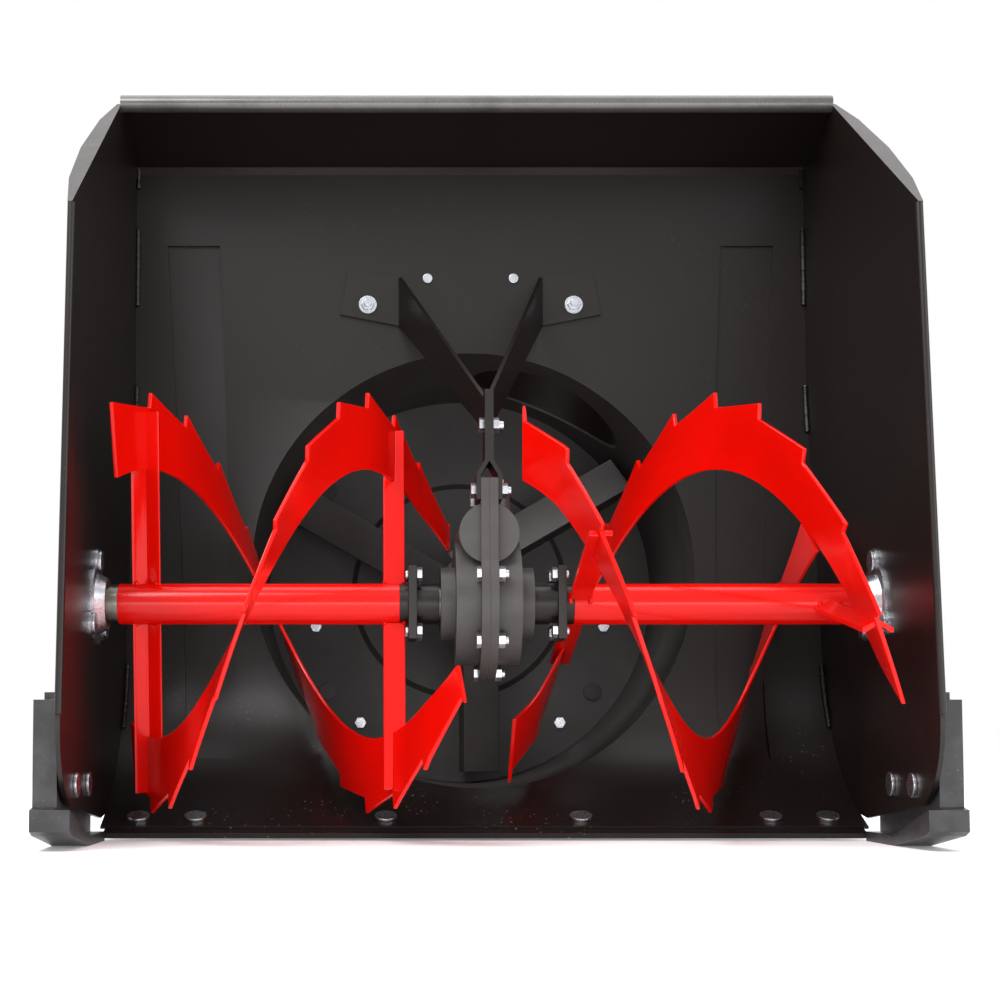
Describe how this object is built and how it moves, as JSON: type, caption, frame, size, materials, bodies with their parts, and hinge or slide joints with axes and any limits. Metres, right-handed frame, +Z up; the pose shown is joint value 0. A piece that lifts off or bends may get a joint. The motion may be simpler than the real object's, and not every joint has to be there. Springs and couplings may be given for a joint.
{
  "type": "snow blower auger head",
  "caption": "Two-stage snow blower head: black sheet-steel intake housing with toothed red ribbon augers, worm gearbox, bladed impeller in a rear drum, turning chute ring and skid shoes",
  "frame": {"origin": "centre of the frame stud pattern: the rear face of the drum back plate, on the impeller axis", "axes": "+Y is the impeller axis and points backwards, away from the intake; +Z is up, along the chute ring's axis; +X is to the right when looking into the intake"},
  "size_m": [0.6024, 0.628, 0.5805],
  "materials": {
    "black_powder": "satin powder coat",
    "red_powder": "gloss powder coat",
    "zinc": "zinc plated",
    "gear_housing": "cast and painted dark grey",
    "machined_steel": "machined",
    "bronze": "sintered bronze",
    "gasket_fibre": "pressed fibre",
    "seal_rubber": "moulded",
    "shoe_plastic": "moulded polyethylene",
    "pulley_iron": "cast"
  },
  "bodies": {
    "housing": {"axle_bushings": "bronze", "back_sheet": "black_powder", "bearing_flanges": "zinc", "brace_bolts": "zinc", "brace_nuts": "zinc", "case_bolts": "zinc", "case_gasket": "gasket_fibre", "case_nuts": "zinc", "chute_clip_bolts": "zinc", "chute_clips": "zinc", "chute_collar": "black_powder", "drum_back_plate": "black_powder", "drum_bolts": "zinc", "frame_studs": "black_powder", "gearbox_case_left": "gear_housing", "gearbox_case_right": "gear_housing", "impeller_drum": "black_powder", "left_brace": "black_powder", "left_side_plate": "black_powder", "oil_plug": "machined_steel", "output_bushings": "bronze", "output_seals": "seal_rubber", "rear_bearing": "machined_steel", "rear_bearing_housing": "pulley_iron", "right_brace": "black_powder", "right_side_plate": "black_powder", "scraper_bar": "black_powder", "scraper_bolts": "zinc", "scraper_nuts": "zinc", "side_plate_bolts": "zinc", "side_plate_nuts": "zinc", "wall_screws": "zinc", "worm_bearings": "machined_steel"},
    "auger": {"output_shaft": "machined_steel", "wheel_key": "machined_steel", "worm_wheel": "bronze", "hub_flanges": "black_powder", "hub_bolts": "zinc", "left_auger_tube": "red_powder", "right_auger_tube": "red_powder", "shaft_collars": "machined_steel", "left_ribbon_a": "red_powder", "left_ribbon_b": "red_powder", "right_ribbon_c": "red_powder", "right_ribbon_d": "red_powder", "left_outer_arms": "red_powder", "right_outer_arms": "red_powder", "inner_arms": "red_powder"},
    "impeller": {"impeller_shaft": "machined_steel", "worm": "machined_steel", "impeller_hub": "black_powder", "impeller_blades": "black_powder", "roll_pins": "zinc", "drive_pulley": "pulley_iron", "pulley_key": "machined_steel", "pulley_bolt": "zinc"},
    "left_shoe": {"left_skid_shoe": "shoe_plastic"},
    "right_shoe": {"right_skid_shoe": "shoe_plastic"},
    "chute": {"chute_ring": "black_powder"}
  },
  "joints": [
    {"name": "auger_spin", "type": "hinge", "parent": "housing", "child": "auger", "pos_m": [0, -0.409, -0.0465], "axis": [1, 0, 0], "continuous": true},
    {"name": "impeller_spin", "type": "hinge", "parent": "housing", "child": "impeller", "pos_m": [0, -0.06, 0], "axis": [0, 1, 0], "continuous": true},
    {"name": "left_skid_slide", "type": "slide", "parent": "housing", "child": "left_shoe", "axis": [0, 0, 1], "range_m": [-0.018, 0.005]},
    {"name": "right_skid_slide", "type": "slide", "parent": "housing", "child": "right_shoe", "axis": [0, 0, 1], "range_m": [-0.018, 0.005]},
    {"name": "chute_turn", "type": "hinge", "parent": "housing", "child": "chute", "pos_m": [0.07, -0.109, 0.218], "axis": [0, 0, 1], "range_deg": [-100, 100]}
  ],
  "couplings": [
    {"joint": "auger_spin", "follows": "impeller_spin", "ratio": -0.1}
  ]
}
